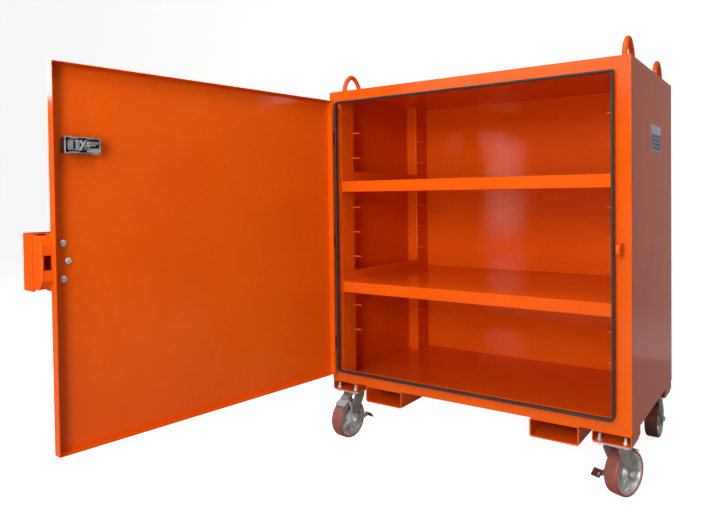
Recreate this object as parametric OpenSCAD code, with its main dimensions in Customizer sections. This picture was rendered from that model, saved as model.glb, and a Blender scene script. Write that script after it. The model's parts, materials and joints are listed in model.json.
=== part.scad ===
// Rolling tool box: steel site cabinet with one large hinged door, two lift-out
// shelves, fork pockets, lifting eyes and four swivel castors.
// Origin: on the floor, under the centre of the cabinet body. +Z up, front faces -Y.
// The door is drawn open; door_open gives the angle from the closed position.

/* [Body] */
// width of the cabinet body over the side panels
body_w = 1142; // [1100:2:1200]
// depth of the cabinet body from frame face to back panel
body_d = 706; // [680:2:760]
// height of the cabinet body from frame bottom to roof
body_h = 1160; // [1150:2:1240]
// sheet thickness of panels, frame and posts
sheet = 2.5; // [2:0.5:3]
// distance from the body edge to the middle of the opening flange
frame_w = 48.5; // [48:0.5:50]
// forward projection of the opening flange
flange_out = 30; // [29:0.5:31]
// floor sheet thickness
floor_t = 4; // [3:1:5]

/* [Seal] */
// width of the rubber edge seal
seal_w = 8; // [7:0.5:8]
// front face of the seal ahead of the frame face
seal_out = 33.5; // [33:0.5:33.5]
// depth of the seal along the flange
seal_grip = 16; // [14:1:16]
// outer corner radius of the seal
seal_r = 12; // [10:1:18]

/* [Door] */
// opening angle in the drawn pose
door_open = 97.4; // [0:0.2:180]
// door width between lip faces
door_w = 1072; // [1072:1:1073]
// door height
door_h = 1081; // [1080:0.5:1081]
// height of the door bottom above the frame bottom
door_z = 38; // [38:0.5:39]
// depth of the folded lips at the free edge, top and bottom
lip = 31; // [28:0.5:32]
// depth of the folded lip on the hinge side
hinge_lip = 27; // [24:0.5:27]
// door sheet thickness
door_t = 2; // [1.5:0.5:2]
// outer face of the closed door ahead of the frame face
door_face = 36; // [36:0.5:37]

/* [Hinges] */
// hinge barrel radius
barrel_r = 6; // [5.5:0.5:6]
// length of one barrel
barrel_l = 48; // [40:2:56]
// hinge pin radius
pin_r = 3.5; // [3:0.25:4]

/* [Lock] */
// height of the lock housing
box_h = 160; // [150:2:170]
// plate thickness of the lock housing
box_t = 3; // [2:0.5:4]
// height of the lock centre above the frame bottom
lock_z = 571; // [520:1:620]
// padlock hole radius in the staple
staple_hole_r = 7; // [5:0.5:8]
// height of the latch centre above the frame bottom
latch_z = 893; // [820:1:960]

/* [Shelves] */
// vertical pitch of the shelf tabs
tab_pitch = 100; // [80:5:100]
// number of tabs on each post
tab_count = 9; // [8:1:9]
// height of the lowest tab above the frame bottom
tab_first = 200; // [180:5:200]
// tab carrying the lower shelf, counted from zero
low_shelf_tab = 2; // [0:1:3]
// tab carrying the upper shelf, counted from zero
high_shelf_tab = 6; // [5:1:7]
// height of the upturned shelf edges
upturn = 40; // [30:1:45]
// depth of the downturned shelf front
downturn = 42; // [30:1:45]

/* [Underside] */
// width of a fork pocket
pocket_w = 163; // [150:1:170]
// height of a fork pocket
pocket_h = 63; // [55:1:70]
// wall of the fork pockets
pocket_t = 5; // [4:0.5:6]
// distance of the pocket centre from the body centre
pocket_x = 329.5; // [300:0.5:340]
// width of a castor tube
tube_w = 118; // [116:1:122]
// height of a castor tube
tube_h = 36; // [34:1:40]
// length of a castor tube
tube_l = 128; // [126:1:140]
// wall of the castor tubes
tube_t = 3; // [2.5:0.5:4]

/* [Castors] */
// wheel diameter
wheel_d = 150; // [140:1:152]
// tyre width
wheel_w = 48; // [44:1:50]
// height from the floor to the top of the castor plate
castor_h = 190; // [188:1:196]
// trail of the wheel behind the swivel axis
trail = 40; // [36:1:44]
// swivel angle of the front left castor
swivel_fl = -96; // [-180:1:180]
// swivel angle of the front right castor
swivel_fr = 69; // [-180:1:180]
// swivel angle of the rear left castor
swivel_rl = 90; // [-180:1:180]
// swivel angle of the rear right castor
swivel_rr = 90; // [-180:1:180]

/* [Lifting eyes] */
// bar radius of the lifting eyes
eye_bar_r = 9; // [7:0.5:10]
// bend radius over the top, to the middle of the bar
eye_r = 38; // [32:1:42]
// half the spread of the feet, to the middle of the bar
eye_half = 55; // [50:1:60]
// height over the roof, to the middle of the bar
eye_h = 72; // [68:1:80]

/* [Hidden] */
$fn = 48;

half_w = body_w / 2;
front_y = -body_d / 2;
back_y = body_d / 2;
base_z = castor_h + tube_h;
top_z = base_z + body_h;
fit_gap = 0.06;           // radial running clearance

// opening flange and seal, measured as half widths from the body centre
flange_x = half_w - frame_w;
clear_x = flange_x - seal_w / 2;
notch = seal_r + 6;       // flange left out at each corner for the seal bend

// posts
post_d_front = 91;
post_d_back = 104;
bend_r = 4;
tab_l = 36;
tab_w = 10;
tab_t = 5;

// door and hinge
pin_x = -half_w + 22.8;
pin_y = front_y - door_face + 10;
door_x0 = pin_x + 6.5;
door_x1 = door_x0 + door_w;
door_y = front_y - door_face;
door_z0 = base_z + door_z;
hinge_levels = [130, 540, 950];
leaf_t = 3;
hinge_relief = 30;         // length of the shallower lips next to the hinge

// lock housing, seen with the door closed
box_x0 = door_x1 - 75;
box_x1 = door_x1 + 37;
box_front = door_y - 93;
box_step = door_y - 32;
guard_x1 = door_x1 + 29;
guard_y = door_y + 17;
guard_h = 148;
guard_cham = 25;
lock_c = base_z + lock_z;
slot_w = 21;
slot_h = 40;
staple_x0 = door_x1 + 7;
staple_t = 11;
staple_h = 36;
staple_l = 53;
staple_hole_y = front_y - 41;
lock_bolt_pos = [[-33, 50], [-47, 0], [-33, -50]];
lock_bolt_r = 5;

// latch
latch_x = door_x1 - 81;
latch_w = 100;
latch_h = 45;
latch_d = 30;
latch_c = base_z + latch_z;
keeper_y = front_y - 10;
bolt_s = 8;
bolt_h = 12;
tail_h = 28;
tail_l = 7;
window_w = 5;
spindle_x = latch_x - 18;
spindle_r = 6;
rose_r = 22;
grip_w = 18;
grip_l = 92;
grip_t = 12;
grip_gap = 30;

// shelves
shelf_x = clear_x - 2;
shelf_y0 = front_y + 2;
shelf_y1 = back_y - sheet - 3.5;
shelf_t = 2;

// castors
castor_x = 510;
castor_y = 62;
plate_w = 114;
plate_l = 120;
plate_t = 5;
bolt_r = 5;
bolt_hole_r = 5.1;
bolt_l = 30;
nut_r = 8.5;
bolt_dx = 39;
bolt_dy = 46;
race_r = 38;
crown_z = castor_h - plate_t - 14;
axle_z = wheel_d / 2;
axle_r = 6;
leg_in = wheel_w / 2 + 3;
leg_t = 4;
core_r = wheel_d / 2 - 8;
lever_t = 4;
lever_r = 26;
boss_r = 19;
axle_nut_r = 10;
axle_nut_h = 8;
axle_out = 16;            // axle left proud of the leg on the brake side

// lifting eyes, three tangent bends each
eye_x = 540;
eye_y = 113;
eye_side_r = (pow(eye_half, 2) + pow(eye_h - eye_r, 2) - pow(eye_r, 2)) / (2 * (eye_half - eye_r));
eye_turn = acos((eye_side_r - eye_half) / (eye_side_r - eye_r));

paint = [0.95, 0.38, 0.05];
zinc = [0.78, 0.78, 0.75];
rubber = [0.12, 0.12, 0.12];
steel_grey = [0.42, 0.42, 0.4];
polyurethane = [0.7, 0.22, 0.16];

// flat rectangle with four rounded corners, from x0,y0 to x1,y1
module round_rect(x0, y0, x1, y1, r) {
    translate([x0 + r, y0]) square([x1 - x0 - 2 * r, y1 - y0]);
    translate([x0, y0 + r]) square([x1 - x0, y1 - y0 - 2 * r]);
    for (x = [x0 + r, x1 - r], y = [y0 + r, y1 - r]) translate([x, y]) circle(r);
}

// box given by two opposite corners
module block(a, b) translate(a) cube(b - a);

// plate drawn in x and z, from y0 to y1
module upright(y0, y1) translate([0, y1, 0]) rotate([90, 0, 0]) linear_extrude(y1 - y0) children();

// profile drawn in y and z, from x0 to x1
module across(x0, x1) translate([x0, 0, 0]) rotate([90, 0, 90]) linear_extrude(x1 - x0) children();

// cylinder along y from y0 to y1
module rod_y(x, z, r, y0, y1) translate([x, y1, z]) rotate([90, 0, 0]) cylinder(r = r, h = y1 - y0);

// turns the door and everything on it from closed to the drawn pose
module door_swing() {
    translate([pin_x, pin_y, 0]) rotate(-door_open) translate([-pin_x, -pin_y, 0]) children();
}

// ---- shell ----
module side_panel(s) {
    color(paint) block([s > 0 ? half_w - sheet : -half_w, front_y + sheet, base_z],
        [s > 0 ? half_w : -half_w + sheet, back_y, top_z]);
}
module side_panel_left() side_panel(-1);
module side_panel_right() side_panel(1);

module back_panel() {
    color(paint) block([-half_w + sheet, back_y - sheet, base_z + floor_t],
        [half_w - sheet, back_y, top_z - sheet]);
}

module roof_panel() {
    color(paint) block([-half_w + sheet, front_y + sheet, top_z - sheet],
        [half_w - sheet, back_y, top_z]);
}

module floor_panel() {
    color(paint) block([-half_w + sheet, front_y + sheet, base_z],
        [half_w - sheet, back_y, base_z + floor_t]);
}

// ---- mitred front frame ----
module ring(out, inside) {
    difference() {
        translate([-half_w + out, base_z + out]) square([body_w - 2 * out, body_h - 2 * out]);
        translate([-half_w + inside, base_z + inside])
            square([body_w - 2 * inside, body_h - 2 * inside]);
    }
}

// flange strip without its corners
module flange_strips() {
    difference() {
        ring(frame_w - sheet / 2, frame_w + sheet / 2);
        for (x = [-flange_x, flange_x], z = [base_z + frame_w, top_z - frame_w])
            translate([x - notch, z - notch]) square(2 * notch);
    }
}

module mitre_side(s) {
    mid = base_z + body_h / 2;
    rise = body_h / 2 - half_w;
    polygon([[s * half_w, base_z], [0, mid - rise], [0, mid + rise], [s * half_w, top_z]]);
}
module mitre_end(z, dir) polygon([[-half_w, z], [half_w, z], [0, z + dir * half_w]]);

module frame_plate() ring(0, frame_w + sheet / 2);

module stile(s) {
    upright(front_y, front_y + sheet) intersection() { frame_plate(); mitre_side(s); }
    upright(front_y - flange_out, front_y) intersection() { flange_strips(); mitre_side(s); }
}
module stile_left() color(paint) stile(-1);
module stile_right() {
    color(paint) difference() {
        stile(1);
        block([flange_x - 4, keeper_y - 5.5, latch_c - 8], [flange_x + 4, keeper_y + 5.5, latch_c + 8]);
    }
}
module rail(z, dir) {
    color(paint) {
        upright(front_y, front_y + sheet) intersection() { frame_plate(); mitre_end(z, dir); }
        upright(front_y - flange_out, front_y) intersection() { flange_strips(); mitre_end(z, dir); }
    }
}
module rail_top() rail(top_z, -1);
module rail_bottom() rail(base_z, 1);

module door_seal() {
    color(rubber) difference() {
        upright(front_y - seal_out, front_y - seal_out + seal_grip) difference() {
            round_rect(-flange_x - seal_w / 2, base_z + frame_w - seal_w / 2,
                flange_x + seal_w / 2, top_z - frame_w + seal_w / 2, seal_r);
            round_rect(-clear_x, base_z + frame_w + seal_w / 2,
                clear_x, top_z - frame_w - seal_w / 2, seal_r - seal_w);
        }
        upright(front_y - flange_out, front_y) flange_strips();
    }
}

// ---- shelf posts, drawn in plan ----
// post plan with its folded corner at the origin, wings along -x and -y
module post_plan(wing, depth) {
    difference() {
        union() {
            translate([-wing, -sheet]) square([wing - bend_r, sheet]);
            translate([-sheet, -depth]) square([sheet, depth - bend_r]);
            translate([-bend_r, -bend_r]) circle(bend_r);
        }
        translate([-bend_r, -bend_r]) circle(bend_r - sheet);
        translate([-wing, -depth]) square([wing - bend_r, depth - sheet]);
        translate([-wing, -depth]) square([wing - sheet, depth - bend_r]);
    }
}

// sx picks left or right, sy picks front or back
module post(sx, sy, depth) {
    wing = half_w - sheet - clear_x;
    wall_y = sy > 0 ? back_y - sheet : front_y + sheet;
    translate([0, wall_y, base_z + floor_t])
        linear_extrude(body_h - sheet - floor_t)
            mirror([0, sy > 0 ? 1 : 0]) translate([0, depth - sheet])
                mirror([sx > 0 ? 1 : 0, 0]) translate([-clear_x, 0])
                    post_plan(wing, depth - sheet);
}
module post_front_left() color(paint) post(-1, -1, post_d_front);
module post_front_right() color(paint) post(1, -1, post_d_front);
module post_back_left() color(paint) post(-1, 1, post_d_back);
module post_back_right() color(paint) post(1, 1, post_d_back);

module shelf_tabs() {
    color(paint) for (s = [-1, 1], y = [front_y + post_d_front - bend_r - tab_w,
            back_y - post_d_back + bend_r], k = [0 : tab_count - 1])
        translate([s > 0 ? clear_x - tab_l : -clear_x, y, base_z + tab_first + k * tab_pitch - tab_t])
            cube([tab_l, tab_w, tab_t]);
}

// ---- underside ----
module tube(x, z0, w, h, t, r, y0, y1) {
    upright(y0, y1) difference() {
        round_rect(x - w / 2, z0, x + w / 2, z0 + h, r);
        round_rect(x - w / 2 + t, z0 + t, x + w / 2 - t, z0 + h - t, r - t);
    }
}
module fork_pocket(s) {
    color(paint) tube(s * pocket_x, base_z - pocket_h, pocket_w, pocket_h, pocket_t, 8, front_y, back_y);
}
module fork_pocket_left() fork_pocket(-1);
module fork_pocket_right() fork_pocket(1);

// bolt centres of one castor plate
module at_bolts(sx, sy) {
    for (dx = [-bolt_dx, bolt_dx], dy = [-bolt_dy, bolt_dy])
        translate([sx * castor_x + dx, sy * (back_y - castor_y) + dy, 0]) children();
}
module castor_tube(sx, sy) {
    color(paint) difference() {
        tube(sx * castor_x, castor_h, tube_w, tube_h, tube_t, 6,
            sy > 0 ? back_y - tube_l : front_y, sy > 0 ? back_y : front_y + tube_l);
        at_bolts(sx, sy) translate([0, 0, castor_h - 1]) cylinder(r = bolt_hole_r, h = tube_t + 2);
    }
}
module castor_tube_fl() castor_tube(-1, -1);
module castor_tube_fr() castor_tube(1, -1);
module castor_tube_rl() castor_tube(-1, 1);
module castor_tube_rr() castor_tube(1, 1);

module castor_bolts() {
    color(zinc) for (sx = [-1, 1], sy = [-1, 1]) at_bolts(sx, sy) {
        translate([0, 0, castor_h - plate_t - 5]) cylinder(r = 8, h = 5, $fn = 6);
        translate([0, 0, castor_h - plate_t]) cylinder(r = bolt_r, h = bolt_l);
        translate([0, 0, castor_h + tube_t]) cylinder(r = nut_r, h = 8, $fn = 6);
    }
}

// ---- castors ----
module castor_place(sx, sy, swivel) {
    translate([sx * castor_x, sy * (back_y - castor_y), 0]) rotate(swivel) children();
}
module castor_plate(sx, sy) {
    color(zinc) difference() {
        translate([sx * castor_x, sy * (back_y - castor_y), 0]) {
            translate([0, 0, castor_h - plate_t]) linear_extrude(plate_t)
                round_rect(-plate_w / 2, -plate_l / 2, plate_w / 2, plate_l / 2, 8);
            translate([0, 0, crown_z + 6]) cylinder(r = race_r, h = 8);
        }
        at_bolts(sx, sy) translate([0, 0, castor_h - plate_t - 1]) cylinder(r = bolt_hole_r, h = plate_t + 2);
        translate([sx * castor_x, sy * (back_y - castor_y), crown_z])
            cylinder(r = axle_r + fit_gap, h = 16);
    }
}
module castor_plate_fl() castor_plate(-1, -1);
module castor_plate_fr() castor_plate(1, -1);
module castor_plate_rl() castor_plate(-1, 1);
module castor_plate_rr() castor_plate(1, 1);

// one fork leg, drawn in trail direction and height
module leg_shape() {
    polygon([[-26, crown_z], [30, crown_z], [trail + boss_r, axle_z + 40], [trail + boss_r, axle_z],
        [trail - boss_r, axle_z], [-14, axle_z + 62]]);
    translate([trail, axle_z]) circle(boss_r);
}
module fork() {
    color(steel_grey) {
        translate([0, 0, crown_z]) linear_extrude(leg_t)
            round_rect(-32, -leg_in - leg_t, 34, leg_in + leg_t, 6);
        translate([0, 0, crown_z + leg_t]) cylinder(r = race_r - 6, h = 1.5);
        translate([0, 0, crown_z - 6]) cylinder(r = 11, h = 6, $fn = 6);
        translate([0, 0, crown_z]) cylinder(r = axle_r, h = 15);
        for (s = [-1, 1]) upright(s > 0 ? leg_in : -leg_in - leg_t, s > 0 ? leg_in + leg_t : -leg_in)
            leg_shape();
        // nose plate over the tyre
        upright(-20, 20) polygon([[24, crown_z], [24, crown_z + leg_t], [34, crown_z + leg_t],
            [62, axle_z + 84], [60, axle_z + 80], [33, crown_z]]);
        rod_y(trail, axle_z, axle_r, -leg_in - leg_t - axle_nut_h, leg_in + leg_t + axle_out);
        for (y = [-leg_in - leg_t, leg_in + leg_t + axle_out - 2])
            translate([trail, y, axle_z]) rotate([90, 0, 0]) cylinder(r = axle_nut_r, h = axle_nut_h, $fn = 6);
    }
}
module fork_fl() castor_place(-1, -1, swivel_fl) fork();
module fork_fr() castor_place(1, -1, swivel_fr) fork();
module fork_rl() castor_place(-1, 1, swivel_rl) fork();
module fork_rr() castor_place(1, 1, swivel_rr) fork();

module wheel_core() {
    color(steel_grey) translate([trail, 0, axle_z]) rotate([90, 0, 0]) rotate_extrude() polygon([
        [axle_r + fit_gap, -leg_in + 1], [20, -leg_in + 1], [22, -8], [core_r - 9, -5],
        [core_r - 7, -wheel_w / 2 + 2], [core_r, -wheel_w / 2 + 2], [core_r, wheel_w / 2 - 2],
        [core_r - 7, wheel_w / 2 - 2], [core_r - 9, 5], [22, 8], [20, leg_in - 1],
        [axle_r + fit_gap, leg_in - 1]]);
}
module wheel_core_fl() castor_place(-1, -1, swivel_fl) wheel_core();
module wheel_core_fr() castor_place(1, -1, swivel_fr) wheel_core();
module wheel_core_rl() castor_place(-1, 1, swivel_rl) wheel_core();
module wheel_core_rr() castor_place(1, 1, swivel_rr) wheel_core();

module tyre() {
    color(polyurethane) translate([trail, 0, axle_z]) rotate([90, 0, 0]) rotate_extrude() polygon([
        [core_r, -wheel_w / 2 + 1], [core_r + 5, -wheel_w / 2], [wheel_d / 2, -wheel_w / 2 + 7],
        [wheel_d / 2, wheel_w / 2 - 7], [core_r + 5, wheel_w / 2], [core_r, wheel_w / 2 - 1]]);
}
module tyre_fl() castor_place(-1, -1, swivel_fl) tyre();
module tyre_fr() castor_place(1, -1, swivel_fr) tyre();
module tyre_rl() castor_place(-1, 1, swivel_rl) tyre();
module tyre_rr() castor_place(1, 1, swivel_rr) tyre();

// foot lever hung on the axle outside the left leg, pedal standing off ahead of the wheel
module brake_lever() {
    y0 = leg_in + leg_t + 0.8;
    color([0.28, 0.16, 0.14]) difference() {
        union() {
            upright(y0, y0 + lever_t) {
                translate([trail, axle_z]) circle(lever_r);
                polygon([[trail, axle_z - 15], [trail, axle_z + 15], [-38, axle_z + 8],
                    [-38, axle_z - 6]]);
            }
            translate([-38, y0, axle_z + 1]) rotate([0, -45, 0])
                translate([-15, -4, -1]) cube([28, 32, 5]);
        }
        rod_y(trail, axle_z, axle_r + fit_gap, y0 - 1, y0 + lever_t + 1);
    }
}
module brake_lever_fl() castor_place(-1, -1, swivel_fl) brake_lever();
module brake_lever_fr() castor_place(1, -1, swivel_fr) brake_lever();

// ---- lifting eyes ----
// bent bar of middle radius r from angle a0 to a1, in a plane across y
module bent_bar(r, a0, a1) {
    rotate([90, 0, 0]) rotate(a0) rotate_extrude(angle = a1 - a0) translate([r, 0]) circle(eye_bar_r);
}
module lifting_eye(sx, sy) {
    color(paint) translate([sx * eye_x, sy * (back_y - eye_y), top_z]) rotate(90) {
        translate([0, 0, (eye_side_r - eye_r) * sin(eye_turn)]) bent_bar(eye_r, eye_turn, 180 - eye_turn);
        for (m = [0, 1]) mirror([m, 0, 0]) translate([eye_half - eye_side_r, 0, 0]) {
            bent_bar(eye_side_r, 0, eye_turn);
            // slight swelling where the two bends meet
            rotate([0, -eye_turn, 0]) translate([eye_side_r, 0, 0]) sphere(r = eye_bar_r + 0.3);
        }
    }
}
module lifting_eye_fl() lifting_eye(-1, -1);
module lifting_eye_fr() lifting_eye(1, -1);
module lifting_eye_rl() lifting_eye(-1, 1);
module lifting_eye_rr() lifting_eye(1, 1);

// ---- fittings on the shell ----
module hasp_staple() {
    color(paint) across(staple_x0, staple_x0 + staple_t) difference() {
        union() {
            translate([front_y - staple_l + 12, lock_c - staple_h / 2]) square([staple_l - 12, staple_h]);
            translate([front_y - staple_l, lock_c - staple_h / 2 + 12]) square([12, staple_h - 24]);
            for (z = [-1, 1]) translate([front_y - staple_l + 12, lock_c + z * (staple_h / 2 - 12)])
                circle(12);
        }
        translate([staple_hole_y, lock_c]) circle(staple_hole_r);
    }
}

plate_y0 = front_y + 306;
plate_y1 = front_y + 472;
plate_z0 = base_z + 888;
plate_z1 = base_z + 976;
module data_plate() {
    color(zinc) across(half_w, half_w + 0.8)
        round_rect(plate_y0, plate_z0, plate_y1, plate_z1, 4);
}
module plate_rivets() {
    color(zinc) for (y = [plate_y0 + 6, plate_y1 - 6], z = [plate_z0 + 6, plate_z1 - 6])
        translate([half_w + 0.8, y, z]) rotate([0, 90, 0]) cylinder(r = 2.4, h = 1.2);
}

module hinge_leaves() {
    color(paint) for (z = hinge_levels) translate([0, 0, base_z + z]) difference() {
        union() {
            translate([pin_x, pin_y, 0]) cylinder(r = barrel_r, h = barrel_l);
            block([pin_x - barrel_r, pin_y, 0], [pin_x - barrel_r + leaf_t, front_y, barrel_l]);
        }
        translate([pin_x, pin_y, -1]) cylinder(r = pin_r, h = barrel_l + 2);
    }
}
module hinge_pins() {
    color(zinc) for (z = hinge_levels) translate([pin_x, pin_y, base_z + z])
        cylinder(r = pin_r, h = 2 * barrel_l - 4);
}

// ---- door ----
module door_pan() {
    color(paint) door_swing() difference() {
        union() {
            block([door_x0, door_y, door_z0], [door_x1, door_y + door_t, door_z0 + door_h]);
            block([door_x0, door_y, door_z0], [door_x0 + door_t, door_y + hinge_lip, door_z0 + door_h]);
            block([door_x1 - door_t, door_y, door_z0], [door_x1, door_y + lip, door_z0 + door_h]);
            for (z = [door_z0, door_z0 + door_h - door_t])
                across(door_x0, door_x1) translate([door_y, z]) square([hinge_lip, door_t]);
            for (z = [door_z0, door_z0 + door_h - door_t])
                block([door_x0 + hinge_relief, door_y, z], [door_x1, door_y + lip, z + door_t]);
        }
        for (p = lock_bolt_pos)
            rod_y(door_x1 + p[0], lock_c + p[1], lock_bolt_r + 0.1, door_y - 1, door_y + door_t + 1);
        rod_y(spindle_x, latch_c, spindle_r + fit_gap, door_y - 1, door_y + door_t + 1);
    }
}
module door_knuckles() {
    color(paint) door_swing() for (z = hinge_levels)
        translate([0, 0, base_z + z + barrel_l + 1]) difference() {
            union() {
                translate([pin_x, pin_y, 0]) cylinder(r = barrel_r, h = barrel_l);
                block([door_x0 - leaf_t, pin_y, 0], [door_x0, pin_y + 15, barrel_l]);
            }
            translate([pin_x, pin_y, -1]) cylinder(r = pin_r + fit_gap, h = barrel_l + 2);
        }
}
module lock_box() {
    z0 = lock_c - box_h / 2;
    z1 = lock_c + box_h / 2;
    color(paint) door_swing() difference() {
        union() {
            block([box_x0, box_front, z0], [box_x1, box_front + box_t, z1]);
            block([box_x0, box_front, z0], [box_x0 + box_t, door_y, z1]);
            block([box_x1 - box_t, box_front, z0], [box_x1, box_step, z1]);
            block([guard_x1, box_step - box_t, z0], [box_x1, box_step, z1]);
            block([box_x0, box_front, z1 - box_t], [box_x1, box_step, z1]);
            block([box_x0, box_front, z1 - box_t], [door_x1, door_y, z1]);
            block([box_x0, door_y - box_t, z0], [door_x1, door_y, z1]);
            block([door_x1 - box_t, box_step, z0], [door_x1, door_y, z1]);
        }
        block([door_x1 - box_t - 1, box_step + box_t, lock_c - 30], [door_x1 + 1, door_y - box_t, lock_c + 30]);
        for (p = lock_bolt_pos)
            rod_y(door_x1 + p[0], lock_c + p[1], lock_bolt_r + 0.1, door_y - box_t - 1, door_y + 1);
    }
}

// profile of the guard in y and z, shrunk by t on every sloping and level face
module guard_profile(t) {
    h = guard_h / 2;
    k = t * (sqrt(2) - 1);
    polygon([[box_step, lock_c - h + t], [guard_y - guard_cham - k, lock_c - h + t],
        [guard_y - t, lock_c - h + guard_cham + k], [guard_y - t, lock_c + h - guard_cham - k],
        [guard_y - guard_cham - k, lock_c + h - t], [box_step, lock_c + h - t]]);
}
module lock_guard() {
    color(paint) door_swing() difference() {
        across(door_x1, guard_x1) guard_profile(0);
        across(door_x1 - 1, guard_x1 - box_t) guard_profile(box_t);
        block([staple_x0 - 3, guard_y - box_t - 1, lock_c - slot_h / 2],
            [staple_x0 - 3 + slot_w, guard_y + 1, lock_c + slot_h / 2]);
    }
}
module lock_bolts() {
    color(zinc) door_swing() for (p = lock_bolt_pos) translate([door_x1 + p[0], 0, lock_c + p[1]]) {
        rod_y(0, 0, lock_bolt_r, door_y - 18, door_y + door_t);
        rod_y(0, 0, 10, door_y + door_t, door_y + door_t + 2);
        translate([0, door_y + door_t + 2, 0]) rotate([-90, 0, 0]) cylinder(r1 = 10, r2 = 5, h = 4);
        translate([0, door_y - box_t, 0]) rotate([90, 0, 0]) cylinder(r = 9.5, h = 8, $fn = 6);
    }
}
module latch_case() {
    y0 = door_y + door_t;
    x0 = latch_x - latch_w / 2;
    x1 = latch_x + latch_w / 2;
    z0 = latch_c - latch_h / 2;
    z1 = latch_c + latch_h / 2;
    color(zinc) door_swing() difference() {
        upright(y0, y0 + latch_d) round_rect(x0, z0, x1, z1, 5);
        // hollow behind the cover, window, bolt way and spindle hole
        block([x0 + 2, y0 - 1, z0 + 2], [x1 - 2, y0 + latch_d - 2, z1 - 2]);
        block([latch_x + 22, y0, latch_c - tail_h / 2],
            [latch_x + 22 + window_w, y0 + latch_d + 1, latch_c + tail_h / 2]);
        block([x1 - 3, keeper_y - bolt_s / 2 - 0.5, latch_c - bolt_h / 2 - 0.5],
            [x1 + 1, keeper_y + bolt_s / 2 + 0.5, latch_c + bolt_h / 2 + 0.5]);
        rod_y(spindle_x, latch_c, spindle_r + fit_gap, y0, y0 + latch_d + 1);
    }
}

// bolt drawn back into the case, with its tail behind it
module latch_bolt() {
    tip = latch_x + latch_w / 2 + 0.5;
    tail = spindle_x + spindle_r + 3;
    color(zinc) door_swing() {
        block([tail, keeper_y - bolt_s / 2, latch_c - bolt_h / 2],
            [tip, keeper_y + bolt_s / 2, latch_c + bolt_h / 2]);
        block([tail, keeper_y - bolt_s / 2, latch_c - tail_h / 2],
            [tail + tail_l, keeper_y + bolt_s / 2, latch_c + tail_h / 2]);
    }
}
module latch_handle() {
    color(steel_grey) door_swing() {
        rod_y(spindle_x, latch_c, spindle_r, door_y - grip_gap, door_y + door_t + latch_d + 1);
        rod_y(spindle_x, latch_c, rose_r, door_y - 6, door_y - 0.5);
        upright(door_y - grip_gap - grip_t, door_y - grip_gap)
            round_rect(spindle_x - grip_w / 2, latch_c - grip_l / 2,
                spindle_x + grip_w / 2, latch_c + grip_l / 2, 8);
    }
}

// ---- shelves ----
module shelf(tab) {
    z = base_z + tab_first + tab * tab_pitch + 0.2;
    color(paint) {
        block([-shelf_x, shelf_y0, z], [shelf_x, shelf_y1, z + shelf_t]);
        block([-shelf_x, shelf_y0, z + shelf_t - downturn], [shelf_x, shelf_y0 + shelf_t, z + shelf_t]);
        for (s = [-1, 1]) block([s > 0 ? shelf_x - shelf_t : -shelf_x, shelf_y0, z],
            [s > 0 ? shelf_x : -shelf_x + shelf_t, shelf_y1, z + upturn]);
        block([-shelf_x, shelf_y1 - shelf_t, z], [shelf_x, shelf_y1, z + upturn]);
    }
}
module shelf_upper() shelf(high_shelf_tab);
module shelf_lower() shelf(low_shelf_tab);

side_panel_left();
side_panel_right();
back_panel();
roof_panel();
floor_panel();
stile_left();
stile_right();
rail_top();
rail_bottom();
door_seal();
post_front_left();
post_front_right();
post_back_left();
post_back_right();
shelf_tabs();
fork_pocket_left();
fork_pocket_right();
castor_tube_fl();
castor_tube_fr();
castor_tube_rl();
castor_tube_rr();
castor_bolts();
lifting_eye_fl();
lifting_eye_fr();
lifting_eye_rl();
lifting_eye_rr();
hasp_staple();
data_plate();
plate_rivets();
hinge_leaves();
hinge_pins();
castor_plate_fl();
castor_plate_fr();
castor_plate_rl();
castor_plate_rr();
door_pan();
door_knuckles();
lock_box();
lock_guard();
lock_bolts();
latch_case();
latch_bolt();
latch_handle();
shelf_upper();
shelf_lower();
fork_fl();
fork_fr();
fork_rl();
fork_rr();
wheel_core_fl();
wheel_core_fr();
wheel_core_rl();
wheel_core_rr();
tyre_fl();
tyre_fr();
tyre_rl();
tyre_rr();
brake_lever_fl();
brake_lever_fr();
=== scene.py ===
"""Rolling tool box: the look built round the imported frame. Metres, +Z up, front faces -Y."""
import json
import math
import random

import bmesh
import bpy
from mathutils import Matrix, Vector


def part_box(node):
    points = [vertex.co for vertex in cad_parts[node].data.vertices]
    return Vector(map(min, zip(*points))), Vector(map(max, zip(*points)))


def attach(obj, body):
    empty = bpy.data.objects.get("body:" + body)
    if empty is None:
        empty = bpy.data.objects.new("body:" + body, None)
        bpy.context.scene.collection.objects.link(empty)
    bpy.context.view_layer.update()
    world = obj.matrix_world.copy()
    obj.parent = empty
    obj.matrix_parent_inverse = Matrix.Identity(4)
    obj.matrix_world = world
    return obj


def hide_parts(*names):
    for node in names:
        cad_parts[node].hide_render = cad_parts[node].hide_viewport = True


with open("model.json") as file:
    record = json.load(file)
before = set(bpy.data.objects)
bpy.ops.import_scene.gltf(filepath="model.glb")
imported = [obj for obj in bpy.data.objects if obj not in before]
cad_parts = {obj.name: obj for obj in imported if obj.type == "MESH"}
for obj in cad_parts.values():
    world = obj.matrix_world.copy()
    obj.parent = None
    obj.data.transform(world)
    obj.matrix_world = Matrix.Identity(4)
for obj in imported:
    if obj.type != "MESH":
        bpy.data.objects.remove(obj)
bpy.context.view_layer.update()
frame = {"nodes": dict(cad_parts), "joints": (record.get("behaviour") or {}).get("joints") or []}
rng = random.Random(7)
JOINTS = {j["name"]: j for j in frame["joints"]}
CORNERS = ("fl", "fr", "rl", "rr")
HINGE_LEVELS = (0.130, 0.540, 0.950)  # lower ends of the hinge barrels, over the body's base


# ---------------------------------------------------------------- places from the frame
def low(node):
    return Vector(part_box(node)[0])


def high(node):
    return Vector(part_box(node)[1])


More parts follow.
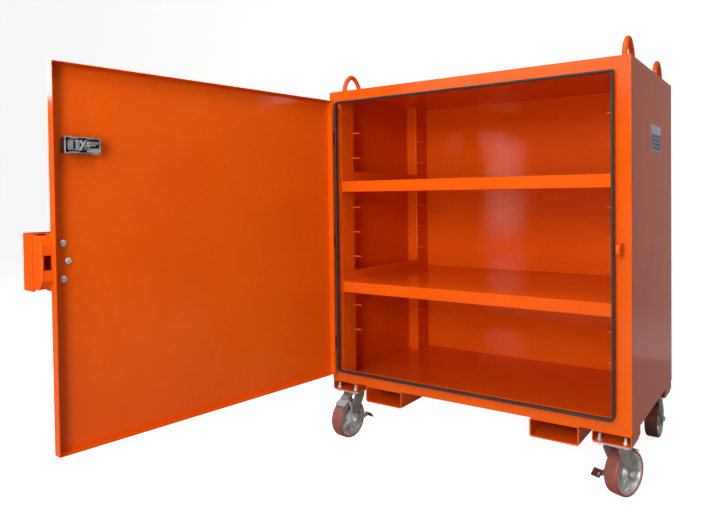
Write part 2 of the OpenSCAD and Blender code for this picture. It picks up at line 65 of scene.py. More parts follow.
HALF_W = high("side_panel_right").x
FRONT = low("fork_pocket_left").y
BASE = low("side_panel_right").z
TOP = high("side_panel_right").z
FLANGE_INSET = 0.0485
FLANGE_X = HALF_W - FLANGE_INSET
FLANGE_LOW = BASE + FLANGE_INSET
FLANGE_HIGH = TOP - FLANGE_INSET

# door parts are laid out on the closed door and swung open about its pin, to where the frame has it
PIN = Vector(JOINTS["door_hinge"]["pos_m"])
DOOR_TURN = -math.radians(JOINTS["door_hinge"]["range_deg"][1])
DOOR_M = (Matrix.Translation((PIN.x, PIN.y, 0)) @ Matrix.Rotation(DOOR_TURN, 4, "Z")
          @ Matrix.Translation((-PIN.x, -PIN.y, 0)))
DOOR_LEFT = PIN.x + 0.0065
DOOR_EDGE = DOOR_LEFT + 1.072
DOOR_FACE = FRONT - 0.036
DOOR_IN = DOOR_FACE + 0.002
LOCK_Z = BASE + 0.571
LATCH_Z = BASE + 0.893


# ---------------------------------------------------------------- shape building
def turned(axis, at):
    """Matrix that puts local z along a row axis, with its origin at a point."""
    spin = {"x": Matrix.Rotation(math.pi / 2, 4, "Y"), "y": Matrix.Rotation(-math.pi / 2, 4, "X"),
            "-y": Matrix.Rotation(math.pi / 2, 4, "X")}
    return Matrix.Translation(at) @ spin[axis]


def rounded(points, r, steps=4):
    """Closed outline with its corners rounded; r is one radius or one per corner."""
    out, n = [], len(points)
    for i, p in enumerate(points):
        rad = r[i] if isinstance(r, (list, tuple)) else r
        p = Vector(p)
        if rad <= 0:
            out.append(p)
            continue
        a = (Vector(points[i - 1]) - p).normalized()
        b = (Vector(points[(i + 1) % n]) - p).normalized()
        half = a.angle(b) / 2
        reach = rad / math.tan(half)
        start, end = p + a * reach, p + b * reach
        centre = p + (a + b).normalized() * (rad / math.sin(half))
        s, e = start - centre, end - centre
        sweep = math.atan2(s.x * e.y - s.y * e.x, s.dot(e))
        for k in range(steps + 1):
            t = sweep * k / steps
            out.append(centre + Vector((s.x * math.cos(t) - s.y * math.sin(t),
                                        s.x * math.sin(t) + s.y * math.cos(t))))
    return out


def circle(r, n):
    """Points of a circle about the origin, as (x, y)."""
    return [(r * math.cos(2 * math.pi * k / n), r * math.sin(2 * math.pi * k / n)) for k in range(n)]


def rect(x0, y0, x1, y1, r, steps=4):
    return rounded([(x0, y0), (x1, y0), (x1, y1), (x0, y1)], r, steps)


class Shape:
    """Faces of one piece, each part placed through the current matrix m.

    The vertex layer "mark" tells a material how worn a place is; it is 0 unless set.
    """

    def __init__(self, m=None):
        self.bm = bmesh.new()
        self.m = m or Matrix.Identity(4)
        self.marks = self.bm.verts.layers.float.new("mark")

    def loft(self, rings, closed=False):
        """Skin over rings of equal length, capped at both ends or joined end to start."""
        made = [[self.bm.verts.new(self.m @ Vector(p)) for p in ring] for ring in rings]
        n = len(made[0])
        pairs = list(zip(made, made[1:])) + ([(made[-1], made[0])] if closed else [])
        for a, b in pairs:
            for i in range(n):
                j = (i + 1) % n
                self.bm.faces.new((a[i], a[j], b[j], b[i]))
        if not closed:
            self.bm.faces.new(made[0][::-1])
            self.bm.faces.new(made[-1])
        return made

    def prism(self, outline, axis, a, b, edge=0.0):
        """Outline drawn in the two other axes, from a to b, with a small chamfer at both ends."""
        def ring(t, inset):
            pts = [Vector(p) for p in outline]
            if inset:
                mid = sum(pts, Vector((0, 0))) / len(pts)
                size = max((p - mid).length for p in pts)
                pts = [mid + (p - mid) * (1 - inset / size) for p in pts]
            place = {"x": lambda p: (t, p.x, p.y), "y": lambda p: (p.x, t, p.y),
                     "z": lambda p: (p.x, p.y, t)}
            return [place[axis](p) for p in pts]
        if edge:
            s = edge if b > a else -edge
            self.loft([ring(a, edge), ring(a + s, 0), ring(b - s, 0), ring(b, edge)])
        else:
            self.loft([ring(a, 0), ring(b, 0)])

    def box(self, a, b):
        self.prism([(a[0], a[1]), (b[0], a[1]), (b[0], b[1]), (a[0], b[1])], "z", a[2], b[2])

    def lathe(self, profile, place, seg=40, closed=False):
        """Profile of (radius, height) turned about the local z of a matrix."""
        keep, self.m = self.m, self.m @ place
        rings = [[(x, y, h) for x, y in circle(max(r, 1e-5), seg)] for r, h in profile]
        out = self.loft(rings, closed)
        self.m = keep
        return out

    def tube(self, path, radius, seg=12, closed=False):
        """Round bar along a path; radius is one number or one per point."""
        pts = [Vector(p) for p in path]
        n = len(pts)
        rings, side = [], None
        for i, p in enumerate(pts):
            before = pts[i - 1] if i or closed else p
            after = pts[(i + 1) % n] if i < n - 1 or closed else p
            t = (after - before).normalized()
            if side is None:
                side = t.orthogonal().normalized()
            side = (side - t * side.dot(t)).normalized()
            up = t.cross(side)
            r = radius[i] if isinstance(radius, list) else radius
            rings.append([p + (side * u + up * v) * r for u, v in circle(1, seg)])
        self.loft(rings, closed)

    def bead(self, path, r):
        """Ripple weld bead along straight runs between points."""
        pitch = 0.0032
        pts, rad = [], []
        phase = 0.0
        for a, b in zip(path, path[1:]):
            a, b = Vector(a), Vector(b)
            steps = max(2, int((b - a).length / pitch * 2))
            for k in range(steps):
                jitter = Vector((rng.uniform(-1, 1), rng.uniform(-1, 1), rng.uniform(-1, 1)))
                pts.append(a.lerp(b, k / steps) + jitter * r * 0.08)
                phase += math.pi
                rad.append(r * (1 + 0.1 * math.cos(phase) + rng.uniform(-0.07, 0.07)))
        pts.append(Vector(path[-1]))
        rad.append(r * 0.7)
        rad[0] = r * 0.7
        self.tube(pts, rad, 8)

    def hexagon(self, across, h0, h1, place):
        """Hexagon bolt head or nut with its corners turned off."""
        chamfer = 0.0008
        r = across / math.sqrt(3)
        keep, self.m = self.m, self.m @ place

        def ring(h, cut):
            out = []
            for k in range(24):
                a = 2 * math.pi * k / 24
                flat = across / 2 / math.cos((a + math.pi / 6) % (math.pi / 3) - math.pi / 6)
                out.append((min(flat, r - cut) * math.cos(a), min(flat, r - cut) * math.sin(a), h))
            return out

        self.loft([ring(h0, chamfer * 1.6), ring(h0 + chamfer, 0),
                   ring(h1 - chamfer, 0), ring(h1, chamfer * 1.6)])
        self.m = keep

    def thread(self, r, h0, h1, place):
        """Threaded bolt end, as a stack of ridges."""
        pitch = 0.0015
        n = max(2, int((h1 - h0) / pitch))
        prof = [(0, h0)]
        for k in range(n):
            h = h0 + (h1 - h0) * k / n
            prof += [(r * 0.88, h), (r, h + (h1 - h0) / n / 2)]
        prof += [(r * 0.85, h1), (0, h1)]
        self.lathe(prof, place, 20)


def smooth(mesh, degrees):
    mesh.polygons.foreach_set("use_smooth", [True] * len(mesh.polygons))
    mesh.set_sharp_from_angle(angle=math.radians(degrees))


def piece(name, shape, material, body, replaces=(), bevel=0.0, degrees=35):
    """Turns a Shape into a piece that rides on a body."""
    bmesh.ops.recalc_face_normals(shape.bm, faces=shape.bm.faces)
    mesh = bpy.data.meshes.new(name)
    shape.bm.to_mesh(mesh)
    shape.bm.free()
    smooth(mesh, degrees)
    obj = bpy.data.objects.new(name, mesh)
    bpy.context.scene.collection.objects.link(obj)
    mesh.materials.append(material)
    if bevel:
        add_bevel(obj, bevel)
    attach(obj, body)
    if replaces:
        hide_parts(*replaces)
    return obj


def add_bevel(obj, width, segments=3):
    mod = obj.modifiers.new("edges", "BEVEL")
    mod.width = width
    mod.segments = segments
    mod.limit_method = "ANGLE"
    mod.angle_limit = math.radians(32)
    mod.miter_outer = "MITER_ARC"


# ---------------------------------------------------------------- materials
class Look:
    """A node material on one Principled shader, patterned in object coordinates."""

    def __init__(self, name, **values):
        self.material = bpy.data.materials.new(name)
        self.material.use_nodes = True
        self.tree = self.material.node_tree
        self.shader = self.tree.nodes["Principled BSDF"]
        for key, value in values.items():
            self.shader.inputs[key.replace("_", " ")].default_value = value
        self.coords = self.tree.nodes.new("ShaderNodeTexCoord").outputs["Object"]

    def node(self, kind, inputs=None, **settings):
        n = self.tree.nodes.new("ShaderNode" + kind)
        for key, value in settings.items():
            setattr(n, key, value)
        for key, value in (inputs or {}).items():
            if isinstance(value, bpy.types.NodeSocket):
                self.tree.links.new(value, n.inputs[key])
            else:
                n.inputs[key].default_value = value
        return n

    def stretch(self, scale):
        return self.node("Mapping", {"Vector": self.coords, "Scale": scale}).outputs[0]

    def noise(self, scale, detail=3.0, rough=0.5, vector=None):
        return self.node("TexNoise", {"Vector": vector or self.coords, "Scale": scale, "Detail": detail,
                                      "Roughness": rough}).outputs[0]

    def ramp(self, value, *stops):
        """Colour ramp; stops are (position, colour or grey)."""
        r = self.node("ValToRGB", {"Fac": value})
        while len(r.color_ramp.elements) < len(stops):
            r.color_ramp.elements.new(0.5)
        for e, (pos, c) in zip(r.color_ramp.elements, stops):
            e.position = pos
            e.color = (*c, 1) if isinstance(c, tuple) else (c, c, c, 1)
        return r.outputs[0]

    def mix(self, fac, a, b, kind="MIX"):
        m = self.tree.nodes.new("ShaderNodeMix")
        m.data_type, m.blend_type = "RGBA", kind
        for socket, value in ((m.inputs[0], fac), (m.inputs[6], a), (m.inputs[7], b)):
            if isinstance(value, bpy.types.NodeSocket):
                self.tree.links.new(value, socket)
            else:
                socket.default_value = value if socket.type == "VALUE" else (*value, 1)
        return m.outputs[2]

    def colour(self, socket):
        self.tree.links.new(socket, self.shader.inputs["Base Color"])

    def roughness(self, value, a, b):
        r = self.node("MapRange", {"Value": value, "To Min": a, "To Max": b}).outputs[0]
        self.tree.links.new(r, self.shader.inputs["Roughness"])

    def bump(self, *heights):
        """Heights are (socket, strength, distance) laid one over the other."""
        last = None
        for height, strength, distance in heights:
            inputs = {"Height": height, "Strength": strength, "Distance": distance}
            if last:
                inputs["Normal"] = last
            last = self.node("Bump", inputs).outputs[0]
        self.tree.links.new(last, self.shader.inputs["Normal"])

    def attribute(self, name):
        return self.node("Attribute", attribute_name=name).outputs["Fac"]


def paint(name, base, deep, light, rough, peel=0.06):
    """Sprayed paint: broad drift in tone, fine dust, sparse scuffs and orange peel."""
    look = Look(name, Specular_IOR_Level=0.24)
    broad = look.noise(2.3, 4.0, 0.55)
    fine = look.noise(38.0, 5.0, 0.6)
    tone = look.ramp(broad, (0.3, deep), (0.5, base), (0.72, light))
    dust = look.ramp(fine, (0.35, 0.94), (0.7, 1.0))
    body = look.mix(0.55, tone, dust, "MULTIPLY")
    # sparse handling scuffs, drawn out along the sheet
    streak = look.noise(60.0, 6.0, 0.7, look.stretch((1.0, 1.0, 0.08)))
    scuff = look.ramp(streak, (0.66, 0.0), (0.78, 1.0))
    faint = look.node("Math", {0: scuff, 1: 0.10}, operation="MULTIPLY").outputs[0]
    look.colour(look.mix(faint, body, light))
    look.roughness(look.noise(7.0, 4.0, 0.6), *rough)
    look.bump((look.noise(330.0, 2.0, 0.5), peel, 0.0004), (broad, 0.05, 0.004))
    return look.material


ORANGE = paint("orange_powder_coat", (0.78, 0.098, 0.0025), (0.745, 0.088, 0.002),
               (0.81, 0.112, 0.005), (0.08, 0.15))
BROWN_RED = paint("red_brown_paint", (0.085, 0.022, 0.018), (0.06, 0.016, 0.014),
                  (0.13, 0.04, 0.03), (0.35, 0.6), 0.2)


def metal(name, base, dark, rough, metallic, grain=90.0, bumpy=0.08):
    """Plated, cast or painted metal: blotches, small spots and a fine grain."""
    look = Look(name, Metallic=metallic)
    blotch = look.noise(26.0, 5.0, 0.65)
    spots = look.noise(180.0, 3.0, 0.6)
    tone = look.ramp(blotch, (0.34, dark), (0.62, base))
    look.colour(look.mix(0.5, tone, look.ramp(spots, (0.3, 0.78), (0.62, 1.0)), "MULTIPLY"))
    look.roughness(look.noise(grain, 4.0, 0.7), *rough)
    look.bump((look.noise(grain * 7, 3.0, 0.6), bumpy, 0.0003))
    return look.material


ZINC = metal("zinc_plate", (0.80, 0.81, 0.81), (0.50, 0.51, 0.53), (0.22, 0.44), 0.5)
# near-black steel: the latch bolt's own colour, and painted shade on the latch case's walls and floor
DARK_STEEL_AND_SHADE = metal("dark_steel_and_painted_shade", (0.050, 0.050, 0.056), (0.022, 0.022, 0.026), (0.3, 0.5), 0.3)
DULL_ZINC = metal("dull_zinc_fork", (0.44, 0.41, 0.355), (0.27, 0.25, 0.22), (0.34, 0.6), 0.4, 60.0, 0.15)
CAST = metal("grey_cast_paint", (0.72, 0.72, 0.69), (0.42, 0.42, 0.40), (0.26, 0.46), 0.4, 120.0, 0.5)
BLACK = metal("black_handle", (0.022, 0.022, 0.024), (0.012, 0.012, 0.013), (0.3, 0.5), 0.0, 120.0, 0.25)
LATCH_ZINC = metal("latch_zinc", (0.60, 0.61, 0.60), (0.22, 0.23, 0.27), (0.2, 0.4), 0.5, 60.0, 0.12)


def rubber_look():
    look = Look("seal_rubber", Specular_IOR_Level=0.4, Sheen_Weight=0.04, Sheen_Roughness=0.5)
    dust = look.noise(45.0, 5.0, 0.65)
    look.colour(look.ramp(dust, (0.3, (0.012, 0.012, 0.012)), (0.75, (0.030, 0.030, 0.030))))
    look.roughness(look.noise(160.0, 3.0, 0.6), 0.42, 0.68)
    look.bump((look.noise(900.0, 2.0, 0.5), 0.25, 0.0004))
    return look.material


RUBBER = rubber_look()


def tyre_look():
    """Red polyurethane, greyed and scuffed where the tread rolls."""
    look = Look("red_polyurethane", Specular_IOR_Level=0.45, Coat_Weight=0.08, Coat_Roughness=0.3)
    tread = look.attribute("mark")
    cloud = look.noise(22.0, 5.0, 0.62)
    clean = look.ramp(cloud, (0.3, (0.42, 0.030, 0.012)), (0.7, (0.56, 0.055, 0.025)))
    worn = look.ramp(look.noise(34.0, 6.0, 0.7), (0.28, (0.135, 0.075, 0.060)), (0.5, (0.27, 0.085, 0.062)),
                     (0.74, (0.42, 0.080, 0.048)))
    look.colour(look.mix(tread, clean, worn))
    look.roughness(look.noise(90.0, 4.0, 0.6), 0.34, 0.6)
    look.bump((look.noise(420.0, 3.0, 0.6), 0.22, 0.0005))
    return look.material


TYRE = tyre_look()


def plate_look(name, base, dark, metallic):
    """Brushed plate metal, drawn out along the plate."""
    look = Look(name, Metallic=metallic, Specular_IOR_Level=0.25)
    brushed = look.noise(140.0, 4.0, 0.6, look.stretch((1.0, 0.03, 1.0)))
    look.colour(look.ramp(brushed, (0.3, dark), (0.7, base)))
    look.roughness(brushed, 0.45, 0.6)
    look.bump((brushed, 0.05, 0.0002))
    return look.material


PLATE_SILVER = plate_look("plate_silver", (0.50, 0.51, 0.60), (0.38, 0.39, 0.46), 0.3)
PLATE_BLUE = plate_look("plate_blue_grey", (0.11, 0.13, 0.24), (0.08, 0.095, 0.18), 0.1)


# ---------------------------------------------------------------- CAD nodes that stay
def dress(node, material, width, segments=3):
    """Material for a CAD node, and softened folds through modifiers only."""
    obj = frame["nodes"][node]
    obj.data.materials.clear()
    obj.data.materials.append(material)
    weld = obj.modifiers.new("join", "WELD")
    weld.merge_threshold = 1e-5
    flat = obj.modifiers.new("flats", "DECIMATE")
    flat.decimate_type = "DISSOLVE"
    flat.angle_limit = math.radians(0.6)
    add_bevel(obj, width, segments)
    shade = obj.modifiers.new("shading", "WEIGHTED_NORMAL")
    shade.keep_sharp = False
    obj.data.polygons.foreach_set("use_smooth", [True] * len(obj.data.polygons))


# width of the softened fold, and the painted sheet-metal nodes that have it
FOLDS = {
    0.0011: ("side_panel_left", "side_panel_right", "back_panel", "roof_panel", "floor_panel"),
    0.0009: ("stile_left", "stile_right", "rail_top", "rail_bottom", "shelf_upper", "shelf_lower", "door_pan",
             "post_front_left", "post_front_right", "post_back_left", "post_back_right"),
    0.0010: ("fork_pocket_left", "fork_pocket_right"),
    0.0008: tuple("castor_tube_" + key for key in CORNERS),
    0.0013: ("lock_box",),
    0.0012: ("lock_guard", "hasp_staple"),
    0.0006: ("hinge_leaves", "door_knuckles"),
}
for fold, nodes in FOLDS.items():
    for name in nodes:
        dress(name, ORANGE, fold)
dress("shelf_tabs", ORANGE, 0.0008, 2)
for key in CORNERS:
    dress("castor_plate_" + key, ZINC, 0.0008)


# ---------------------------------------------------------------- door seal
def make_seal():
    """Edge trim pushed on to the flange, butted at the top right corner."""
    shape = Shape()
    r = 0.012
    start = (FLANGE_X, FLANGE_HIGH - 0.0045)
    end = (FLANGE_X + 0.0040, FLANGE_HIGH - 0.0003)
    line = rounded([start, (FLANGE_X, FLANGE_LOW), (-FLANGE_X, FLANGE_LOW),
                    (-FLANGE_X, FLANGE_HIGH), end], [0, r, r, r, 0], 8)
    path = []
    for a, b in zip(line, line[1:]):
        steps = max(1, round((b - a).length / 0.045))
        path += [a.lerp(b, k / steps) for k in range(steps)]
    path.append(line[-1])
    front, back = FRONT - 0.0335, FRONT - 0.0175
    section = rounded([(-0.0039, back), (-0.0040, front), (0.0040, front), (0.0039, back)],
                      [0.0008, 0.0031, 0.0031, 0.0008], 5)
    rings = []
    n = len(path)
    wave = [rng.uniform(-1, 1) * 0.00025 for _ in path]
    for i, p in enumerate(path):
        before, after = path[max(0, i - 1)], path[min(n - 1, i + 1)]
        t = (after - before).normalized()
        side = Vector((-t.y, t.x))
        shift = (wave[i] + wave[i - 1]) / 2
        rings.append([(p.x + side.x * (u + shift), y, p.y + side.y * (u + shift)) for u, y in section])
    shape.loft(rings)
    piece("seal_trim", shape, RUBBER, "cabinet", ("door_seal",))


make_seal()


# ---------------------------------------------------------------- castors
def castor_frame(key):
    """Local frame of one castor: z on the swivel axis from the floor, x along the trail."""
    swivel = Vector(JOINTS["swivel_" + key]["pos_m"])
    axle = Vector(JOINTS["roll_" + key]["pos_m"])
    return (Matrix.Translation((swivel.x, swivel.y, 0))
            @ Matrix.Rotation(math.atan2(axle.y - swivel.y, axle.x - swivel.x), 4, "Z"))


TRAIL, AXLE_Z, LEG_IN, LEG_T = 0.040, 0.075, 0.027, 0.004
SWIVEL_AXIS = Matrix.Identity(4)


def make_wheel(key, m):
    """Cast centre with six ribs a side, and the tyre moulded on to it."""
    core = Shape(m)
    place = turned("-y", (TRAIL, 0, AXLE_Z))
    side = [(0.0061, -0.026), (0.0165, -0.026), (0.019, -0.0245), (0.0205, -0.016), (0.0225, -0.0105),
            (0.030, -0.0075), (0.044, -0.006), (0.0535, -0.0075), (0.0575, -0.012), (0.0590, -0.0205),
            (0.0605, -0.0222), (0.0670, -0.0222)]
    core.lathe(side + [(r, -h) for r, h in side[::-1]], place, 72, closed=True)
    rib = ((0.018, 0.0032, 0.0165), (0.034, 0.0028, 0.0105), (0.0575, 0.003, 0.0120))
    for k in range(6):
        core.m = m @ place @ Matrix.Rotation(math.radians(60 * k + 15), 4, "Z")
        for s in (-1, 1):
            core.loft([[(x, -w, s * 0.004), (x, w, s * 0.004), (x, w * 0.6, s * h), (x, -w * 0.6, s * h)]
                       for x, w, h in rib])
    piece("wheel_centre_" + key, core, CAST, "wheel_" + key, ("wheel_core_" + key,), degrees=40)
    ring = Shape(m)
    half = [(0.0672, 0.0224), (0.0685, 0.0236), (0.0710, 0.0236), (0.0732, 0.0222), (0.0745, 0.0196),
            (0.0750, 0.0155)]
    profile = [(r, -h) for r, h in half] + [(0.0750, 0.0)] + half[::-1] + [(0.0672, 0.0)]
    made = ring.lathe(profile, place, 96, closed=True)
    for verts, (r, h) in zip(made, profile):
        for v in verts:
            v[ring.marks] = 1.0 if r > 0.0744 else (0.55 if r > 0.0730 else 0.0)
    piece("tyre_ring_" + key, ring, TYRE, "wheel_" + key, ("tyre_" + key,), degrees=50)


def make_fork(key, m):
    """Yoke with two legs, lower ball race, king pin and axle."""
    s = Shape(m)
    top = rect(-0.028, -0.031, 0.032, 0.031, 0.007, 5)
    s.prism(top, "z", 0.1712, 0.1752, 0.0008)
    leg = rounded([(-0.026, 0.1745), (0.030, 0.1745), (0.0345, 0.160), (TRAIL + 0.0185, 0.112),
                   (TRAIL + 0.019, AXLE_Z - 0.017), (TRAIL - 0.019, AXLE_Z - 0.017),
                   (TRAIL - 0.0205, AXLE_Z + 0.012), (-0.014, 0.137), (-0.026, 0.158)],
                  [0.003, 0.003, 0.02, 0.03, 0.0165, 0.0165, 0.02, 0.03, 0.012], 6)
    for side in (-1, 1):
        s.prism(leg, "y", side * LEG_IN, side * (LEG_IN + LEG_T), 0.0007)
        # raised boss round the axle
        s.lathe([(0, 0), (0.0135, 0), (0.0128, 0.0012), (0, 0.0012)],
                turned("y" if side > 0 else "-y", (TRAIL, side * (LEG_IN + LEG_T), AXLE_Z)), 32)
    # lower ball race, drawn cup
    s.lathe([(0, 0.1748), (0.0315, 0.1748), (0.0325, 0.1756), (0.0322, 0.1765), (0, 0.1765)],
            SWIVEL_AXIS, 48)
    # nose plate sloping down over the tyre, with a gable at its end
    nose = rounded([(0.029, 0.1712), (0.033, 0.1712), (0.0610, 0.1552), (0.0625, 0.1585),
                    (0.0345, 0.1752), (0.029, 0.1752)], 0.0008, 2)
    s.prism(nose, "y", -0.0200, 0.0200, 0.0006)
    gable = rounded([(-0.020, 0.1545), (0.020, 0.1545), (0.0195, 0.1640), (0.006, 0.1745),
                     (-0.0185, 0.1620)], 0.002, 3)
    s.prism(gable, "x", 0.0600, 0.0622, 0.0004)
    # king pin and its nut
    s.lathe([(0, 0.1690), (0.0060, 0.1690), (0.0060, 0.1858), (0.0052, 0.1860), (0, 0.1860)],
            SWIVEL_AXIS, 24)
    s.hexagon(0.0190, 0.1652, 0.1712, SWIVEL_AXIS)
    s.thread(0.0052, 0.1650, 0.1658, SWIVEL_AXIS)
    piece("castor_yoke_" + key, s, DULL_ZINC, "castor_fork_" + key, ("fork_" + key,),
          degrees=40)
    bright = Shape(m)
    out = LEG_IN + LEG_T
    bright.lathe([(0, -out - 0.0070), (0.0058, -out - 0.0070), (0.0060, -out + 0.001), (0.0060, out),
                  (0.0060, out + 0.0140), (0.0052, out + 0.0152), (0, out + 0.0152)],
                 turned("y", (TRAIL, 0, AXLE_Z)), 28)
    bright.lathe([(0.0062, 0), (0.0115, 0), (0.0115, 0.0014), (0.0062, 0.0014)],
                 turned("-y", (TRAIL, -out - 0.0012, AXLE_Z)), 32, closed=True)
    bright.hexagon(0.0172, 0, 0.0062, turned("-y", (TRAIL, -out - 0.0024, AXLE_Z)))
    bright.hexagon(0.0172, 0, 0.0070, turned("y", (TRAIL, out + 0.0062, AXLE_Z)))
    # bearing seals either side of the hub
    for side in (-1, 1):
        bright.lathe([(0.0062, 0), (0.0110, 0), (0.0105, 0.0008), (0.0062, 0.0008)],
                     turned("y" if side > 0 else "-y", (TRAIL, side * 0.0261, AXLE_Z)), 28, closed=True)
    piece("axle_bolt_" + key, bright, ZINC, "castor_fork_" + key)


def make_race(key, m):
    """Bearing cup pressed into the top plate."""
    s = Shape(m)
    s.lathe([(0.0335, 0.1772), (0.0372, 0.1772), (0.0380, 0.1782), (0.0378, 0.1822), (0.0350, 0.1851),
             (0.0335, 0.1851)], SWIVEL_AXIS, 56, closed=True)
    piece("bearing_cup_" + key, s, ZINC, "cabinet")


def make_brake(key, m):
    """Foot lever on the axle's end, its pedal, and the strip over the tyre."""
    y0 = LEG_IN + LEG_T + 0.0008
    s = Shape(m)
    # lobed plate on the axle, with a raised lobed boss
    for size, wave, a, b in ((0.0235, 0.0045, 0.0, 0.0048), (0.0145, 0.0024, 0.0044, 0.0054)):
        lobes = []
        for k in range(72):
            t = 2 * math.pi * k / 72
            rad = size + wave * math.cos(5 * t + 0.7) + wave * 0.3 * math.cos(2 * t)
            lobes.append(Vector((TRAIL + rad * math.cos(t), AXLE_Z + rad * math.sin(t))))
        s.prism(lobes, "y", y0 + a, y0 + b, 0.0006)
    # arm back to the pedal, and the hook that reaches up to the brake strip
    arm = rounded([(TRAIL - 0.008, AXLE_Z - 0.0145), (TRAIL - 0.008, AXLE_Z + 0.0150),
                   (-0.010, AXLE_Z + 0.0100), (-0.046, AXLE_Z + 0.0040), (-0.047, AXLE_Z - 0.0050),
                   (-0.014, AXLE_Z - 0.0110)], [0.006, 0.006, 0.02, 0.002, 0.002, 0.02], 4)
    s.prism(arm, "y", y0, y0 + 0.0036, 0.0006)
    hook = rounded([(TRAIL + 0.004, AXLE_Z + 0.012), (TRAIL + 0.016, AXLE_Z + 0.010),
                    (TRAIL + 0.0225, AXLE_Z + 0.030), (TRAIL + 0.0195, AXLE_Z + 0.052),
                    (TRAIL + 0.0290, AXLE_Z + 0.0700), (TRAIL + 0.0225, AXLE_Z + 0.0760),
                    (TRAIL + 0.0120, AXLE_Z + 0.054), (TRAIL + 0.0145, AXLE_Z + 0.032)],
                   [0.003, 0.003, 0.015, 0.015, 0.002, 0.002, 0.015, 0.015], 4)
    s.prism(hook, "y", y0, y0 + 0.0034, 0.0006)
    piece("brake_arm_" + key, s, ZINC, "brake_" + key, degrees=40)
    # strip over the tread, fixed to the fork
    strip = Shape(m)
    rings = []
    for k in range(15):
        a = math.radians(6 + 34 * k / 14)
        rings.append([(TRAIL + r * math.sin(a), y, AXLE_Z + r * math.cos(a))
                      for r, y in ((0.0775, -0.0235), (0.0775, 0.0262), (0.0797, 0.0262), (0.0797, -0.0235))])
    strip.loft(rings)
    piece("brake_strip_" + key, strip, ZINC, "castor_fork_" + key, bevel=0.0005, degrees=40)
    # ribbed pedal, tilted up at the arm's end
    pad = Shape(m @ Matrix.Translation((-0.038, y0, AXLE_Z + 0.001))
                @ Matrix.Rotation(math.radians(-45), 4, "Y"))
    pad.prism(rect(-0.015, -0.004, 0.013, 0.028, 0.003), "z", -0.0008, 0.0030, 0.0008)
    for k in range(4):
        x = -0.0120 + k * 0.0062
        pad.prism(rect(x, -0.0015, x + 0.0028, 0.0255, 0.0008, 2), "z", 0.0026, 0.0042, 0.0004)
    piece("brake_pedal_" + key, pad, BROWN_RED, "brake_" + key, ("brake_lever_" + key,),
          degrees=40)


def make_castor_bolts():
    """Four bolts per castor: head and washer under the plate, washer, nut and thread over it."""
    s = Shape()
    plate_low = 0.185
    plugs = ((0.0078, plate_low - 0.0012, plate_low, 24), (0.0049, plate_low, 0.1950, 20),
             (0.0082, 0.1930, 0.1944, 24))
    for key in CORNERS:
        c = JOINTS["swivel_" + key]["pos_m"]
        for dx in (-0.039, 0.039):
            for dy in (-0.046, 0.046):
                at = (Matrix.Translation((c[0] + dx, c[1] + dy, 0))
                      @ Matrix.Rotation(rng.uniform(0, 1), 4, "Z"))
                s.hexagon(0.0136, plate_low - 0.0050, plate_low - 0.0012, at)
                for r, h0, h1, seg in plugs:
                    s.lathe([(0, h0), (r, h0), (r, h1), (0, h1)], at, seg)
                s.hexagon(0.0144, 0.1944, 0.2010, at)
                s.thread(0.0049, 0.2008, 0.2148, at)
    piece("castor_fixings", s, ZINC, "cabinet", ("castor_bolts",), degrees=30)


for key in CORNERS:
    local = castor_frame(key)
    make_wheel(key, local)
    make_fork(key, local)
    make_race(key, local)
    if key in ("fl", "fr"):
        make_brake(key, local)
make_castor_bolts()


# ---------------------------------------------------------------- lifting eyes
def bar_line(half, height, r):
    """Middle line of a bar bent to three tangent arcs, foot to foot, as (along, up)."""
    side_r = (half ** 2 + (height - r) ** 2 - r ** 2) / (2 * (half - r))
    turn = math.acos((side_r - half) / (side_r - r))
    rise = (side_r - r) * math.sin(turn)
    quarter = [(half - side_r + side_r * math.cos(turn * k / 10), side_r * math.sin(turn * k / 10))
               for k in range(10)]
    arc = [turn + (math.pi - 2 * turn) * k / 18 for k in range(19)]
    crown = [(r * math.cos(a), rise + r * math.sin(a)) for a in arc]
    return quarter + crown + [(-u, v) for u, v in quarter[::-1]]


def make_eye(key):
    """Bent bar with a weld ring at each foot."""
    node = "lifting_eye_" + key
    lo, hi = low(node), high(node)
    bar, crown_r, sink = 0.009, 0.038, 0.0004
    m = (Matrix.Translation(((lo.x + hi.x) / 2, (lo.y + hi.y) / 2, TOP))
         @ Matrix.Rotation(math.pi / 2, 4, "Z"))
    half = (hi.y - lo.y) / 2 - bar
    line = bar_line(half, hi.z - TOP - bar, crown_r)
    s = Shape(m)
    feet = [(line[0][0], 0, -sink)], [(line[-1][0], 0, -sink)]
    s.tube(feet[0] + [(u, 0, v) for u, v in line[1:-1]] + feet[1], bar, 28)
    piece("eye_bar_" + key, s, ORANGE, "cabinet", (node,), degrees=60)
    weld = Shape(m)
    for x in (-half, half):
        ring = [(x + u, v, 0.0012) for u, v in circle(0.0093, 44)]
        rad = [0.0026 + 0.0003 * (k % 2) + rng.uniform(0, 0.0003) for k in range(44)]
        weld.tube(ring, rad, 8, closed=True)
    piece("eye_weld_" + key, weld, ORANGE, "cabinet", degrees=60)


for key in CORNERS:
    make_eye(key)


